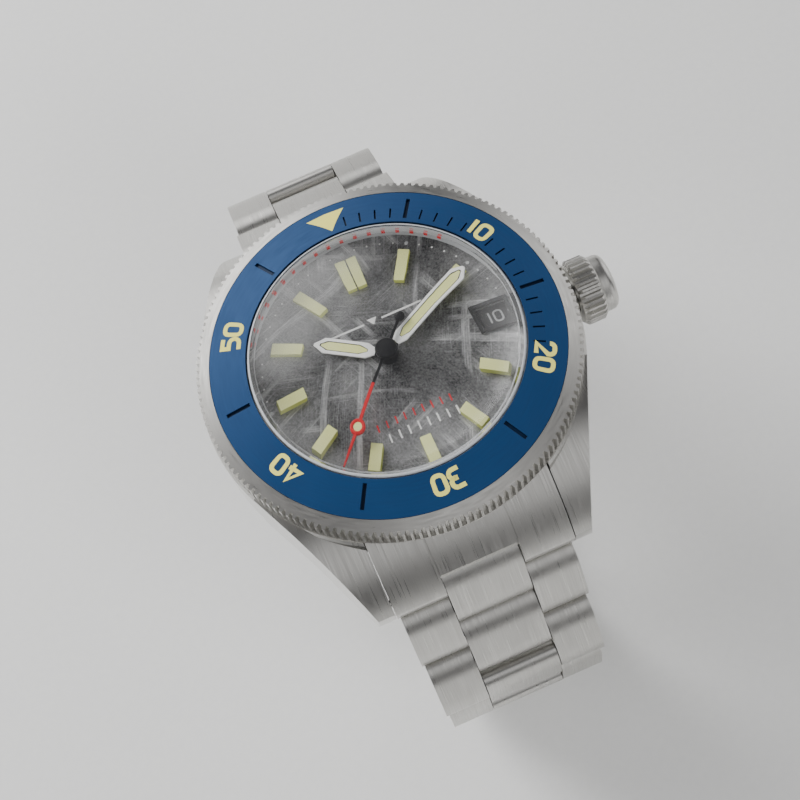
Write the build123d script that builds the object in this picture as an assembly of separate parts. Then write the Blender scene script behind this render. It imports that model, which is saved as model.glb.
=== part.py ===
from build123d import *
import os
from math import asin, atan, cos, degrees, radians, sin, sqrt

# Dive watch on its steel bracelet, closed as it stands on its clasp with the dial up.
# Millimetres.  Origin: centre of the case back's outer face.  +Z leaves through the crystal,
# +Y points to 12 o'clock and +X to the crown at 3 o'clock.

os.makedirs("parts", exist_ok=True)

# ---- driving dimensions ----------------------------------------------------------------
CASE_R = 22.25            # widest radius of the middle case
CASE_BOTTOM = 1.1         # underside of the middle case, above the case back's outer face
CASE_TOP = 8.2            # flange that the bezel turns on
NECK_R = 17.0             # neck that carries the crystal and centres the bezel
NECK_TOP = 11.1
CAVITY_R = 15.55          # inside of the case
SLOT_R = 20.6             # case wall behind the end links
LUG_GAP = 22.0            # between the lugs
LUG_TIP_Y = 25.7
LUG_TIP_X = 13.0          # half width across the lug tips
FLANK_ANGLE = 24.0        # how far each lug's flank leans in

BEZEL_R = 22.0
BEZEL_BOTTOM = 8.35
BEZEL_EDGE_TOP = 10.75
BEZEL_TEETH = 156
BEZEL_TOOTH_DEPTH = 0.42
INSERT_R = 20.3
INSERT_INNER_R = 15.95
INSERT_EDGE_Z = 11.4
INSERT_INNER_Z = 12.2
INSERT_THICK = 0.8
TICK_DEPTH = 0.3
LONG_TICK = (0.45, 16.45, 19.36)    # width, inner radius and outer radius
SHORT_TICK = (0.2, 16.5, 17.9)
TURNING_GAP = 0.12        # round the neck

CRYSTAL_SEAT_R = 15.1
CRYSTAL_R = 15.75
CRYSTAL_TOP = 15.7
CRYSTAL_CAP_R = 6.8        # the flatter middle of the dome
CRYSTAL_CAP_DROP = 0.18
CRYSTAL_EDGE_Z = 12.25     # top of the ground chamfer
CRYSTAL_CHAMFER = 0.25
CRYSTAL_INSIDE_R = 14.4
CRYSTAL_INSIDE_TOP = 12.4
CRYSTAL_INSIDE_EDGE = 10.9
CRYSTAL_BOTTOM = 10.5

DIAL_R = 15.0
DIAL_TOP = 8.0
DIAL_THICK = 0.3
CHAPTER_R = 13.8          # lower inner edge of the sloping chapter ring
CHAPTER_TOP_R = 15.3
CHAPTER_TOP = 10.4
MARKER_RING_R = 10.8      # middle of the hour blocks
MARKER_LENGTH = 2.8
MARKER_WIDTH = 1.2
DOUBLE_MARKER_WIDTH = 1.1
MARKER_HEIGHT = 0.6
WINDOW_R = 11.45          # middle of the date window
WINDOW_LENGTH = 2.9
WINDOW_WIDTH = 2.4
DATE_RING_R = 12.9
DATE_TEETH_R = 9.6
DATE_LOW = 7.54
DATE_HIGH = 7.66

HOUR_LENGTH = 8.5
MINUTE_LENGTH = 12.3
SECOND_LENGTH = 13.3
SECOND_RING_Y = 8.9
COUNTERWEIGHT_Y = -4.3
HOUR_HAND_Z = 8.75
MINUTE_HAND_Z = 9.25
SECOND_HAND_Z = 9.75
HAND_THICK = 0.25
HOUR_ANGLE = 303.5        # degrees clockwise from 12 for about ten past ten
MINUTE_ANGLE = 62.5
SECOND_ANGLE = 222.5

CROWN_Z = 5.0
CROWN_R = 4.0
CROWN_CAP_R = 3.4
CROWN_START = 22.7
CROWN_KNURL_END = 25.6
CROWN_END = 27.3
CROWN_FLUTES = 30
STEM_R = 0.5
TUBE_R = 2.0

LINK_PITCH = 9.0
LINK_THICK = 3.2
LINK_GAP = 0.1
CENTRE_WIDTH = 9.3
END_LINK_WIDTH = 21.8
LIP = 0.5                 # the end link's middle reaches this far past the spring bar
WIDTH_STEP = 0.6          # each row is this much narrower than the one before
HINGE_Y = 23.6            # spring bar, from the case's centre
HINGE_Z = -0.5
PIN_R = 0.6
TIP_ROUND = 0.9           # rounding of the lug and end link tips
LINK_TAPER = 3.0          # length of a link's rounded end, from its flat top to its tip
PIN_BORE_R = 0.65
ROWS_12 = (37.0, 31.0, 80.0, 108.0, 137.0, 160.0)   # slope of each row below the horizontal
ROWS_6 = (64.0, 60.0, 92.0, 125.0)                  # the fifth row's slope closes the loop

CLASP_WIDTH = 18.8
CLASP_WALL = 1.2
CLASP_DROP = 2.6          # outer face below the clasp's hinge axes
CLASP_RISE = 1.8          # side walls above them
BLADE_THICK = 0.9
BLADE_HALF = 6.0
KNUCKLE_R = 0.85
CLASP_PIN_R = 0.5
CLASP_BORE_R = 0.55

END_R = LINK_PITCH / 4 - LINK_GAP / 2


# ---- helpers -----------------------------------------------------------------------------
def disc(radius, low, high, x=0.0, y=0.0):
    """Upright cylinder between two heights."""
    return Pos(x, y, (low + high) / 2) * Cylinder(radius, high - low)


def ring(outer, inner, low, high, x=0.0, y=0.0):
    return disc(outer, low, high, x, y) - disc(inner, low - 1, high + 1, x, y)


def block(x0, x1, y0, y1, z0, z1):
    return Pos((x0 + x1) / 2, (y0 + y1) / 2, (z0 + z1) / 2) * Box(x1 - x0, y1 - y0, z1 - z0)


def lathe(*points):
    """Turn a closed outline of (radius, height) points about Z."""
    outline = Polyline(*[(r, 0, z) for r, z in points], close=True)
    return revolve(make_face(outline), Axis.Z, 360)


def along_x(radius, x0, x1, y=0.0, z=0.0):
    """Cylinder along X between two stations."""
    return Pos((x0 + x1) / 2, y, z) * Rot(0, 90, 0) * Cylinder(radius, x1 - x0)


def toothed(teeth, root, tip, low, high, tooth=0.5):
    """Flat-topped teeth round a disc; tooth is the share of the pitch that a tooth takes."""
    pitch = 360 / teeth
    points = []
    for index in range(teeth):
        start = index * pitch
        for share, radius in ((0.0, root), (0.15, tip), (tooth, tip), (tooth + 0.15, root)):
            angle = radians(start + share * pitch)
            points.append((radius * cos(angle), radius * sin(angle)))
    face = make_face(Polyline(*points, close=True))
    return Pos(0, 0, low) * extrude(face, high - low)


def clock(angle, shape):
    """Turn a shape drawn at 12 o'clock clockwise to its place on the dial."""
    return Rot(0, 0, -angle) * shape


def save(name, *solids):
    shape = solids[0] if len(solids) == 1 else Compound(children=list(solids))
    export_step(shape, f"parts/{name}.step")


# ---- middle case and case back -----------------------------------------------------------
def lug_side(drop):
    """Side view of a lug in the YZ plane, its top lowered by drop."""
    start = (0, 14.5, CASE_TOP - drop)
    middle = (0, 21.6 - 0.5 * drop, 5.25 - 0.8 * drop)
    tip = (0, LUG_TIP_Y, 0.5 - drop)
    heel = (0, LUG_TIP_Y - 0.6, -2.3)
    under = (0, 20.4, -1.2)
    inner = (0, 17.0, CASE_BOTTOM)
    back = (0, 8.0, CASE_BOTTOM)
    corner = (0, 8.0, CASE_TOP - drop)
    edges = [
        ThreePointArc(start, middle, tip),
        Line(tip, heel),
        Line(heel, under),
        Line(under, inner),
        Line(inner, back),
        Line(back, corner),
        Line(corner, start),
    ]
    side = make_face(Curve() + edges)
    ends = [vertex for vertex in side.vertices() if vertex.Y > LUG_TIP_Y - 1]
    return fillet(ends, TIP_ROUND)


def lug_pair():
    """The two lugs at 12 o'clock, before the gap between them is cut."""
    side = extrude(lug_side(0.0), CASE_R, dir=(1, 0, 0)) + extrude(lug_side(0.0), CASE_R, dir=(-1, 0, 0))
    lean = radians(FLANK_ANGLE)
    touch = (CASE_R * cos(lean), CASE_R * sin(lean))
    tip_y = touch[1] + (touch[0] - LUG_TIP_X) * cos(lean) / sin(lean)
    plan = Polyline(
        (-touch[0], touch[1]), (-LUG_TIP_X, tip_y), (LUG_TIP_X, tip_y), touch, close=True
    )
    prism = Pos(0, 0, -5) * extrude(make_face(plan), 20)
    gap = block(-LUG_GAP / 2, LUG_GAP / 2, 0, 40, -10, 20)
    return (side & prism) - gap


def middle_case():
    body = lathe(
        (0, CASE_BOTTOM), (20.6, CASE_BOTTOM), (CASE_R, CASE_BOTTOM + 1.2), (CASE_R, CASE_TOP - 0.3),
        (CASE_R - 0.25, CASE_TOP), (NECK_R, CASE_TOP), (NECK_R, NECK_TOP), (0, NECK_TOP),
    )
    lugs = lug_pair()
    slot = block(-LUG_GAP / 2, LUG_GAP / 2, 0, 40, -10, CASE_TOP) - disc(SLOT_R, -11, 21)
    body = body - slot - Rot(0, 0, 180) * slot
    body = body + lugs + Rot(0, 0, 180) * lugs
    body -= disc(CAVITY_R, 2.7, 20)
    body -= disc(17.25, 0, 2.7)
    body -= ring(NECK_R + 1, NECK_R - 0.4, 9.2, 9.75)
    body -= ring(20.1, 18.0, CASE_TOP - 0.32, CASE_TOP + 0.05)
    body -= along_x(TUBE_R, 14, 24, z=CROWN_Z)
    body -= valve_axis() * disc(1.9, 16.5, 23)
    body -= valve_axis() * disc(0.9, 14, 17)
    for y in (-HINGE_Y, HINGE_Y):
        body -= along_x(0.55, -LUG_GAP / 2 - 1.3, LUG_GAP / 2 + 1.3, y, HINGE_Z)
    return body


def case_back():
    body = lathe(
        (0, 0), (17.9, 0), (18.4, 0.5), (18.4, 1.05), (17.15, 1.05), (17.15, 2.6),
        (16.0, 2.6), (16.0, 1.0), (0, 1.0),
    )
    body -= ring(18.05, 17.35, 0.75, 2)
    for index in range(6):
        body -= Rot(0, 0, 60 * index + 30) * block(16.5, 18.6, -1.3, 1.3, -1, 0.5)
    return body


def valve_axis():
    """Local Z points out through the case's flank, between 9 and 10 o'clock."""
    turn = radians(180 - FLANK_ANGLE)
    return Plane(origin=(0, 0, CROWN_Z), z_dir=(cos(turn), sin(turn), 0)).location


# ---- bezel -------------------------------------------------------------------------------
def bezel_ring():
    inner = NECK_R + TURNING_GAP
    profile = lathe(
        (inner, BEZEL_BOTTOM), (BEZEL_R - 0.15, BEZEL_BOTTOM), (BEZEL_R, BEZEL_BOTTOM + 0.15),
        (BEZEL_R, BEZEL_EDGE_TOP), (INSERT_R + 0.05, INSERT_EDGE_Z), (INSERT_R + 0.05, 10.55),
        (inner, 11.14),
    )
    teeth = toothed(BEZEL_TEETH, BEZEL_R - BEZEL_TOOTH_DEPTH, BEZEL_R, BEZEL_BOTTOM + 0.35, 12)
    lip = disc(BEZEL_R, 8, BEZEL_BOTTOM + 0.35)
    body = profile & (teeth + lip)
    body -= ring(20.15, 17.95, 8, BEZEL_BOTTOM + 0.45)
    click_teeth = toothed(120, 18.6, 18.9, BEZEL_BOTTOM + 0.15, BEZEL_BOTTOM + 0.45)
    return body + (click_teeth - disc(17.9, 8, 10))


def tick(minute, size):
    """Cutter for one engraved line that points at the centre and follows the insert's slope."""
    width, inner, outer = size
    middle = (inner + outer) / 2
    rise = (INSERT_INNER_Z - INSERT_EDGE_Z) / (INSERT_R - INSERT_INNER_R)
    height = INSERT_EDGE_Z + (INSERT_R - middle) * rise
    cutter = Pos(0, middle, height) * Rot(-degrees(atan(rise)), 0, 0) * Box(width, outer - inner, 2 * TICK_DEPTH)
    return clock(6 * minute, cutter)


def bezel_insert():
    """Sloping insert with a line at every minute up to 20 and at each odd five minutes."""
    body = lathe(
        (INSERT_R, INSERT_EDGE_Z - INSERT_THICK), (INSERT_R, INSERT_EDGE_Z),
        (INSERT_INNER_R, INSERT_INNER_Z), (INSERT_INNER_R, INSERT_INNER_Z - INSERT_THICK + 0.02),
        (NECK_R, 11.22), (NECK_R + TURNING_GAP, 11.21),
    )
    for minute in range(5, 60, 10):
        body -= tick(minute, LONG_TICK)
    for minute in range(1, 20):
        if minute % 5:
            body -= tick(minute, SHORT_TICK)
    return body


def click_spring():
    """Flat ring in the case's groove with one raised tongue under the bezel's click teeth."""
    body = ring(20.0, 18.1, CASE_TOP - 0.3, CASE_TOP - 0.05)
    tongue = block(-0.5, 0.5, 18.3, 19.6, CASE_TOP - 0.1, BEZEL_BOTTOM + 0.1)
    return body + tongue


# ---- crystal and dial --------------------------------------------------------------------
def dome_arc(top, radius, edge):
    """Arc of a sphere centred on Z, from its top to a rim of the given radius and height."""
    drop = top - edge
    sphere = (radius**2 + drop**2) / (2 * drop)
    half = radius / 2
    middle = top - sphere + sqrt(sphere**2 - half**2)
    return ThreePointArc((0, 0, top), (half, 0, middle), (radius, 0, edge))


def crystal():
    """Thick crystal: a low cap that turns down into a rounder shoulder, over a shallow inside."""
    cap_z = CRYSTAL_TOP - CRYSTAL_CAP_DROP
    cap_sphere = (CRYSTAL_CAP_R**2 + CRYSTAL_CAP_DROP**2) / (2 * CRYSTAL_CAP_DROP)
    lean = asin(CRYSTAL_CAP_R / cap_sphere)
    rim = CRYSTAL_R - CRYSTAL_CHAMFER
    step = NECK_TOP + 0.1
    corners = [
        (rim, 0, CRYSTAL_EDGE_Z), (CRYSTAL_R, 0, CRYSTAL_EDGE_Z - CRYSTAL_CHAMFER), (CRYSTAL_R, 0, step),
        (CRYSTAL_SEAT_R, 0, step), (CRYSTAL_SEAT_R, 0, CRYSTAL_BOTTOM),
        (CRYSTAL_INSIDE_R, 0, CRYSTAL_BOTTOM), (CRYSTAL_INSIDE_R, 0, CRYSTAL_INSIDE_EDGE),
    ]
    edges = [
        Line((0, 0, CRYSTAL_INSIDE_TOP), (0, 0, CRYSTAL_TOP)),
        dome_arc(CRYSTAL_TOP, CRYSTAL_CAP_R, cap_z),
        TangentArc((CRYSTAL_CAP_R, 0, cap_z), corners[0], tangent=(cos(lean), 0, -sin(lean))),
        *[Line(start, end) for start, end in zip(corners, corners[1:])],
        dome_arc(CRYSTAL_INSIDE_TOP, CRYSTAL_INSIDE_R, CRYSTAL_INSIDE_EDGE),
    ]
    return revolve(make_face(Curve() + edges), Axis.Z, 360)


def chapter_ring():
    return lathe(
        (CAVITY_R - 0.05, DIAL_TOP), (CAVITY_R - 0.05, CHAPTER_TOP), (CHAPTER_TOP_R, CHAPTER_TOP),
        (CHAPTER_R, DIAL_TOP + 0.2), (CHAPTER_R, DIAL_TOP),
    )


def window(grow, low, high):
    half_length = WINDOW_LENGTH / 2 + grow
    half_width = WINDOW_WIDTH / 2 + grow
    return block(WINDOW_R - half_length, WINDOW_R + half_length, -half_width, half_width, low, high)


def dial():
    plate = disc(DIAL_R, DIAL_TOP - DIAL_THICK, DIAL_TOP) - disc(1.15, 7, 9)
    return plate - window(0.0, 7, 9)


def date_frame():
    return window(0.4, DIAL_TOP, DIAL_TOP + 0.3) - window(0.0, 7, 9)


def hour_marker(width):
    low = MARKER_RING_R - MARKER_LENGTH / 2
    return block(-width / 2, width / 2, low, low + MARKER_LENGTH, DIAL_TOP, DIAL_TOP + MARKER_HEIGHT)


def hour_markers():
    offset = DOUBLE_MARKER_WIDTH / 2 + 0.07
    pieces = [Pos(x, 0, 0) * hour_marker(DOUBLE_MARKER_WIDTH) for x in (-offset, offset)]
    pieces += [clock(30 * hour, hour_marker(MARKER_WIDTH)) for hour in range(1, 12) if hour != 3]
    return pieces


def date_ring():
    return disc(DATE_RING_R, DATE_LOW, DATE_HIGH) - toothed(31, DATE_TEETH_R - 0.3, DATE_TEETH_R, 7, 9)


# ---- hands -------------------------------------------------------------------------------
def pencil(length, width, point, tail):
    """Pencil hand in plan: straight sides, a pointed tip and a square tail."""
    half = width / 2
    outline = Polyline(
        (-half, -tail), (half, -tail), (half, length - point), (0.12, length), (-0.12, length),
        (-half, length - point), close=True,
    )
    return make_face(outline)


def hour_hand():
    slot = Pos(0, 5.0, 0) * Rectangle(0.95, 4.6)
    plate = extrude(pencil(HOUR_LENGTH, 1.8, 1.5, 1.0) - slot, HAND_THICK)
    lume = Pos(0, 5.0, 0) * extrude(Rectangle(0.95, 4.6), HAND_THICK - 0.05)
    hand = Pos(0, 0, HOUR_HAND_Z - HAND_THICK) * (plate + lume)
    tube = disc(0.95, 7.6, HOUR_HAND_Z)
    return clock(HOUR_ANGLE, hand + tube) - disc(0.65, 7, 10)


def minute_hand():
    slot = Pos(0, 6.8, 0) * Rectangle(0.75, 8.6)
    plate = extrude(pencil(MINUTE_LENGTH, 1.5, 1.3, 1.0) - slot, HAND_THICK)
    lume = Pos(0, 6.8, 0) * extrude(Rectangle(0.75, 8.6), HAND_THICK - 0.05)
    hand = Pos(0, 0, MINUTE_HAND_Z - HAND_THICK) * (plate + lume)
    return clock(MINUTE_ANGLE, hand + disc(1.0, MINUTE_HAND_Z - HAND_THICK, MINUTE_HAND_Z)) - disc(0.6, 7, 10)


def second_hand():
    half = 0.16
    needle = Polyline((-half, -4.2), (half, -4.2), (half, 6), (0.06, SECOND_LENGTH),
                      (-0.06, SECOND_LENGTH), (-half, 6), close=True)
    low = SECOND_HAND_Z - 0.2
    hand = Pos(0, 0, low) * extrude(make_face(needle), 0.2)
    hand += ring(0.78, 0.3, low, SECOND_HAND_Z + 0.08, y=SECOND_RING_Y)
    hand += disc(0.3, low, SECOND_HAND_Z + 0.02, y=SECOND_RING_Y)
    hand += disc(0.62, low, SECOND_HAND_Z + 0.1, y=COUNTERWEIGHT_Y)
    hand += disc(1.3, low, SECOND_HAND_Z + 0.45)
    return clock(SECOND_ANGLE, hand) - disc(0.25, 7, SECOND_HAND_Z)


# ---- movement ----------------------------------------------------------------------------
THIRD_AT = (5.75 * cos(radians(120)), 5.75 * sin(radians(120)))
ESCAPE_AT = (5.2 * cos(radians(250)), 5.2 * sin(radians(250)))
PALLET_AT = (-0.9, -8.2)
BALANCE_AT = (3.4, -8.8)
BARREL_AT = (7.05, 4.95)
BRIDGE_LOW = 2.8
BRIDGE_HIGH = 3.25
PLATE_LOW = 6.3
PLATE_HIGH = 7.5


def movement_plate():
    body = disc(13.2, PLATE_LOW, PLATE_HIGH) - disc(1.2, 6, 8)
    body += block(11.6, 12.9, -1.2, 1.2, 3.9, PLATE_LOW)
    body -= along_x(STEM_R + 0.1, 11, 14, z=CROWN_Z)
    for angle in (75, 165, 240, 335):
        post = radians(angle)
        body += disc(0.7, BRIDGE_HIGH, PLATE_LOW, 12.2 * cos(post), 12.2 * sin(post))
    return body


def movement_holder():
    body = ring(CAVITY_R - 0.05, 13.3, BRIDGE_LOW, DIAL_TOP - DIAL_THICK - 0.05)
    body -= along_x(1.3, 12, 16, z=CROWN_Z)
    return body - valve_axis() * disc(1.3, 12, 17)


def train_bridge():
    body = disc(12.9, BRIDGE_LOW, BRIDGE_HIGH) - disc(4.8, 2, 4, *BALANCE_AT)
    return body


def balance_cock():
    x, y = BALANCE_AT
    arm = Pos(x, y, (BRIDGE_LOW + BRIDGE_HIGH) / 2) * Rot(0, 0, 35) * Box(9.4, 1.8, BRIDGE_HIGH - BRIDGE_LOW)
    return (arm & disc(4.75, 2, 4, x, y)) + disc(1.4, BRIDGE_LOW, BRIDGE_HIGH, x, y)


def wheel(teeth, radius, low, high, x=0.0, y=0.0, spokes=4):
    """Toothed train wheel with windows between its spokes."""
    body = toothed(teeth, radius - 0.35, radius, low, high)
    body -= ring(radius - 0.9, 1.1, low - 1, high + 1)
    for index in range(spokes):
        body += Rot(0, 0, 360 / spokes * index) * block(0.4, radius - 0.6, -0.25, 0.25, low, high)
    return Pos(x, y, 0) * body


def centre_wheel():
    body = wheel(80, 4.9, 5.6, 5.85) + disc(0.6, 5.2, MINUTE_HAND_Z) + disc(0.9, 5.2, 5.6)
    return body - disc(0.32, 5, 10)


def hour_wheel():
    body = wheel(40, 3.4, DATE_LOW, DATE_HIGH) + disc(1.1, DATE_LOW, DATE_HIGH)
    return body - disc(0.95, 7, 9)


def third_wheel():
    x, y = THIRD_AT
    pinion = Pos(x, y, 0) * toothed(10, 0.45, 0.78, 5.5, 5.95)
    return wheel(75, 4.8, 4.6, 4.85, x, y) + disc(0.25, 3.3, PLATE_LOW, x, y) + pinion


def fourth_wheel():
    pinion = toothed(10, 0.5, 0.82, 4.5, 4.95)
    return wheel(70, 4.4, 3.8, 4.05) + pinion + disc(0.25, 3.3, SECOND_HAND_Z)


def escape_wheel():
    x, y = ESCAPE_AT
    pinion = Pos(x, y, 0) * toothed(7, 0.35, 0.6, 3.75, 4.1)
    body = wheel(15, 2.3, 4.4, 4.6, x, y) + disc(1.2, 4.4, 4.6, x, y)
    return body + pinion + disc(0.2, 3.3, PLATE_LOW, x, y)


def pallet_fork():
    x, y = PALLET_AT
    arms = Rot(0, 0, 15) * block(-1.5, 1.5, -0.35, 0.35, 4.4, 4.6)
    lever = Rot(0, 0, -10) * block(0, 2.5, -0.18, 0.18, 4.4, 4.6)
    return Pos(x, y, 0) * (arms + lever + disc(0.2, 3.3, PLATE_LOW))


def balance_wheel():
    x, y = BALANCE_AT
    rim = ring(3.4, 2.9, 5.0, 5.4)
    spoke = block(-3.0, 3.0, -0.3, 0.3, 5.0, 5.4)
    hairspring = ring(1.6, 1.45, 3.9, 4.2) + ring(1.1, 0.95, 3.9, 4.2) + block(-1.6, 1.6, -0.1, 0.1, 3.9, 4.2)
    return Pos(x, y, 0) * (rim + spoke + hairspring + disc(0.25, 3.3, PLATE_LOW))


def mainspring_barrel():
    x, y = BARREL_AT
    drum = Pos(x, y, 0) * toothed(72, 3.7, 4.0, 4.9, 5.4)
    return drum + disc(3.7, 3.9, 4.95, x, y) + disc(0.5, 3.3, PLATE_LOW, x, y)


def rotor():
    half = block(-14, 14, -14, 0.9, 1, 3)
    rim = ring(12.9, 9.6, 1.35, 2.5)
    web = disc(9.7, 2.0, 2.5)
    return ((rim + web) & half) + disc(2.0, 1.6, 2.5) - disc(1.0, 1, 3)


# ---- crown -------------------------------------------------------------------------------
def facing_x(shape):
    """Lay a shape drawn about +Z along +X at the crown's height."""
    return Pos(0, 0, CROWN_Z) * Rot(0, 90, 0) * shape


def crown():
    knurl = toothed(CROWN_FLUTES, CROWN_R - 0.4, CROWN_R, CROWN_START, CROWN_KNURL_END, 0.45)
    bounds = lathe(
        (0, CROWN_START), (CROWN_R - 0.5, CROWN_START), (CROWN_R, CROWN_START + 0.5),
        (CROWN_R, CROWN_KNURL_END - 0.5), (CROWN_R - 0.5, CROWN_KNURL_END), (0, CROWN_KNURL_END),
    )
    cap = Pos(0, 0, CROWN_END - 2.2) * Cylinder(CROWN_CAP_R, 2.2, align=(Align.CENTER, Align.CENTER, Align.MIN))
    cap = fillet(cap.edges().group_by(Axis.Z)[-1], 0.9)
    body = (knurl & bounds) + cap - disc(TUBE_R + 0.2, CROWN_START - 1, CROWN_START + 2.2)
    return facing_x(body)


def crown_tube():
    return facing_x(ring(TUBE_R, 1.2, 15.6, 24.6))


def winding_stem():
    return facing_x(disc(STEM_R, 8.0, CROWN_START + 2.2))


def crown_gasket():
    return facing_x(ring(1.17, STEM_R + 0.03, 23.3, 23.9))


def helium_valve():
    """Self-opening relief valve: a flat head in the flank on a short stem."""
    head = disc(1.8, 20.6, 22.5)
    return valve_axis() * (head + disc(0.8, 15.9, 20.6))


# ---- bracelet ----------------------------------------------------------------------------
def hinge_points(slopes):
    """Hinge axes (distance from centre, height) of a chain that starts at the spring bar."""
    points = [(HINGE_Y, HINGE_Z)]
    for slope in slopes:
        y, z = points[-1]
        points.append((y + LINK_PITCH * cos(radians(slope)), z - LINK_PITCH * sin(radians(slope))))
    return points


def row_plane(side, point, slope):
    """Local X runs along the bracelet away from the case and local Y points outwards."""
    along = (0, side * cos(radians(slope)), -sin(radians(slope)))
    return Plane(origin=(0, side * point[0], point[1]), x_dir=along, z_dir=(side, 0, 0))


def link_side():
    """Side view of a link with its two axes at 0 and half a pitch: flat faces and long round ends."""
    half = LINK_THICK / 2
    start = LINK_TAPER - END_R
    end = LINK_PITCH / 2 - start
    edges = [
        EllipticalCenterArc((start, 0), LINK_TAPER, half, start_angle=90, arc_size=180),
        Line((start, -half), (end, -half)),
        EllipticalCenterArc((end, 0), LINK_TAPER, half, start_angle=-90, arc_size=180),
        Line((end, half), (start, half)),
    ]
    return make_face(Curve() + edges)


def bar(radius, x0, x1, u=0.0):
    """Round bar across the bracelet in a row's own axes."""
    return Pos(u, 0, (x0 + x1) / 2) * Cylinder(radius, x1 - x0)


def link_row(side, point, slope, width, pins):
    """Centre link, two outer links and their pins: one fixes them and one is the next hinge."""
    plane = row_plane(side, point, slope)
    half_pitch = LINK_PITCH / 2
    inner = CENTRE_WIDTH / 2
    outer_start = inner + LINK_GAP
    outer_width = width / 2 - outer_start
    pin_end = width / 2 - 1.2
    profile = link_side()

    centre = Pos(0, 0, -inner) * extrude(profile, CENTRE_WIDTH)
    centre -= bar(PIN_BORE_R, -20, 20)
    centre -= bar(PIN_R, -20, 20, half_pitch)
    pieces = [centre]
    for start in (outer_start, -outer_start - outer_width):
        outer = Pos(half_pitch, 0, start) * extrude(profile, outer_width)
        for axis in (half_pitch, LINK_PITCH):
            outer -= bar(PIN_R, -pin_end, pin_end, axis)
        pieces.append(outer)
    for axis in (half_pitch, LINK_PITCH)[:pins]:
        pieces.append(bar(PIN_R, -pin_end, pin_end, axis))
    return [plane.location * piece for piece in pieces]


def end_link_block(drop):
    """The lug's side view over the end link's width, its top lowered by drop."""
    half = END_LINK_WIDTH / 2
    side = lug_side(drop)
    return extrude(side, half, dir=(1, 0, 0)) + extrude(side, half, dir=(-1, 0, 0))


def end_link(side):
    """Solid end link: fills the gap between the lugs and ends in two ears round the spring bar."""
    drop = 0.15
    half = END_LINK_WIDTH / 2
    body = end_link_block(drop) - disc(SLOT_R + 0.12, -11, 21)
    axis = (HINGE_Y, HINGE_Z)
    inner = CENTRE_WIDTH / 2 + LINK_GAP
    reach = END_R + 2 * LINK_GAP
    pocket = along_x(reach, -inner, inner, *axis)
    pocket += block(-inner, inner, HINGE_Y + LIP, HINGE_Y + 6, -8, 8)
    pocket += block(-inner, inner, HINGE_Y - reach + 0.2, HINGE_Y + 6, -8, HINGE_Z)
    body -= pocket
    body -= along_x(PIN_R + 0.15, -20, 20, *axis)
    for x in (-inner, inner):
        groove = block(x - 0.09, x + 0.09, 0, 40, -10, 20)
        body -= groove & (end_link_block(drop) - end_link_block(drop + 0.25))
    return body if side > 0 else Rot(0, 0, 180) * body


def spring_bars():
    bars = []
    for y in (-HINGE_Y, HINGE_Y):
        body = along_x(PIN_R, -LUG_GAP / 2 + 0.2, LUG_GAP / 2 - 0.2, y, HINGE_Z)
        tips = along_x(0.45, -LUG_GAP / 2 - 1.1, LUG_GAP / 2 + 1.1, y, HINGE_Z)
        bars.append(body + tips)
    return bars


# ---- clasp -------------------------------------------------------------------------------
def clasp_cover(near, far, level):
    """Channel under the wrist from the 6 o'clock side (near) to its hinge at 12 o'clock (far)."""
    half = CLASP_WIDTH / 2
    start = near + END_R + 0.2
    end = far - END_R - 0.15
    low = level - CLASP_DROP
    high = level + CLASP_RISE
    shell = fillet(block(-half, half, start, end, low, high).edges().filter_by(Axis.Y).group_by(Axis.Z)[0], 0.9)
    shell -= block(-half + CLASP_WALL, half - CLASP_WALL, start - 1, end - 1.0, low + 1.2, high + 1)
    centre = CENTRE_WIDTH / 2
    arm = block(-centre, centre, end - 0.5, far, level - 1.5, level + 1.5)
    arm += along_x(1.5, -centre, centre, far, level)
    shell = shell + arm - along_x(PIN_BORE_R, -20, 20, far, level)
    shell -= along_x(CLASP_PIN_R, -half + 0.4, half - 0.4, pivot_y(near), level - 0.5)
    for side in (-1, 1):
        hole = block(-0.8, 0.8, button_y(far) - 2.1, button_y(far) + 2.1, level - 1.3, level + 1.1)
        shell -= Pos(side * (half - CLASP_WALL / 2), 0, 0) * hole
    return shell


def pivot_y(near):
    return near + 5.0


def fold_y(far):
    return far - 5.5


def button_y(far):
    return far - 13.0


def clasp_pin(near, level):
    return along_x(CLASP_PIN_R, -CLASP_WIDTH / 2 + 0.4, CLASP_WIDTH / 2 - 0.4, pivot_y(near), level - 0.5)


def outer_blade(near, far, level):
    """Lower blade: pivots in the cover near 6 o'clock and carries the fold pin at its far end."""
    pivot = pivot_y(near)
    fold = fold_y(far)
    plate = block(-BLADE_HALF, BLADE_HALF, pivot, fold, level - 0.95, level - 0.05)
    plate -= block(2.95, 7, fold - 1.1, fold + 2, level - 2, level + 1)
    plate -= block(-7, -2.95, fold - 1.1, fold + 2, level - 2, level + 1)
    body = plate + along_x(KNUCKLE_R, -BLADE_HALF, BLADE_HALF, pivot, level - 0.5)
    body += along_x(KNUCKLE_R, -2.95, 2.95, fold, level - 0.1)
    body -= along_x(CLASP_BORE_R, -7, 7, pivot, level - 0.5)
    body -= along_x(CLASP_PIN_R, -7, 7, fold, level - 0.1)
    body -= block(-2.5, 2.5, pivot + 6, fold - 7, level - 2, level + 1)
    return body, along_x(CLASP_PIN_R, -BLADE_HALF, BLADE_HALF, fold, level - 0.1)


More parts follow.
